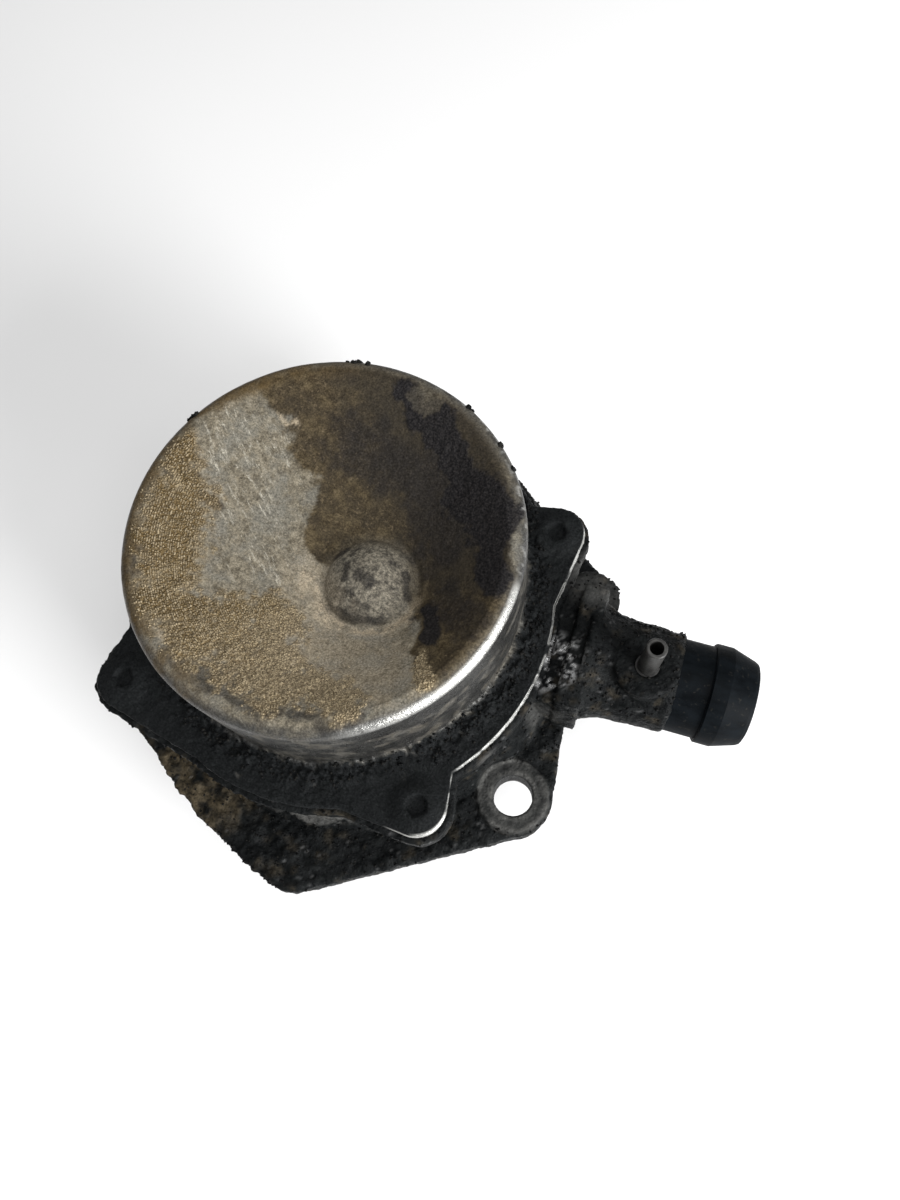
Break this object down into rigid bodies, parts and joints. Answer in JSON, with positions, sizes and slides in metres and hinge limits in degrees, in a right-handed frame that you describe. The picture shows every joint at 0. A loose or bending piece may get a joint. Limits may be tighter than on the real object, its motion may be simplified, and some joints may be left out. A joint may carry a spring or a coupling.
{
  "type": "vacuum pump",
  "caption": "Engine-driven plunger vacuum pump: cast body with mounting flange, pressed-steel can over a piston, side hose spout with check valve, small nipple and roller tappet.",
  "frame": {"origin": "centre of the mounting spigot, on the mounting face", "axes": "+Z out of the engine, up through the can; +X along the hose spout"},
  "size_m": [0.1653, 0.1415, 0.0955],
  "materials": {
    "body": "rough die casting under old grease",
    "can": "pressed steel, stained and dusty",
    "gasket": "matt black",
    "screws": "dull zinc plating",
    "bush": "oiled bronze",
    "rubber": "matt black",
    "spring_steel": "oiled",
    "steel": "ground and oiled",
    "alu_plate": "machined",
    "hardened": "hardened and ground",
    "connector": "smooth dark blue-grey",
    "valve_plastic": "natural nylon",
    "nipple": "dirty"
  },
  "bodies": {
    "housing": {"pump_body": "body", "valve_housing": "body", "tappet_sleeve": "steel", "cover_can": "can", "cover_gasket": "gasket", "cover_screws": "screws", "guide_bush": "bush", "rod_seal": "rubber", "seal_retaining_ring": "spring_steel", "spigot_o_ring": "rubber", "anti_rotation_dowel": "hardened", "spring_seat": "steel", "return_spring": "spring_steel", "hose_connector": "connector", "connector_o_ring": "rubber", "check_valve_seat": "valve_plastic", "check_valve_cage": "valve_plastic", "check_valve_spring": "spring_steel", "vacuum_nipple": "nipple"},
    "plunger": {"piston_lower_plate": "alu_plate", "piston_upper_plate": "alu_plate", "piston_seal": "rubber", "piston_rod": "steel", "piston_washer": "steel", "piston_nut": "screws", "exhaust_valve_rivet": "steel", "tappet": "hardened", "roller_pin": "hardened", "rod_snap_ring": "spring_steel"},
    "roller": {"tappet_roller": "hardened"},
    "exhaust_disc": {"exhaust_valve_disc": "rubber"},
    "check_poppet": {"check_valve_poppet": "rubber"}
  },
  "joints": [
    {"name": "plunger_stroke", "type": "slide", "parent": "housing", "child": "plunger", "axis": [0, 0, 1], "range_m": [0, 0.0075], "stiffness_N_per_m": 4000, "springref_m": -0.006, "deforming": ["return_spring"]},
    {"name": "roller_spin", "type": "hinge", "parent": "plunger", "child": "roller", "pos_m": [0, 0, -0.0295], "axis": [0, 1, 0], "continuous": true},
    {"name": "exhaust_valve_lift", "type": "slide", "parent": "plunger", "child": "exhaust_disc", "axis": [0, 0, 1], "range_m": [0, 0.0013]},
    {"name": "check_valve_lift", "type": "slide", "parent": "housing", "child": "check_poppet", "axis": [-1, 0, 0], "range_m": [0, 0.0025], "stiffness_N_per_m": 150, "springref_m": -0.002, "deforming": ["check_valve_spring"]}
  ]
}
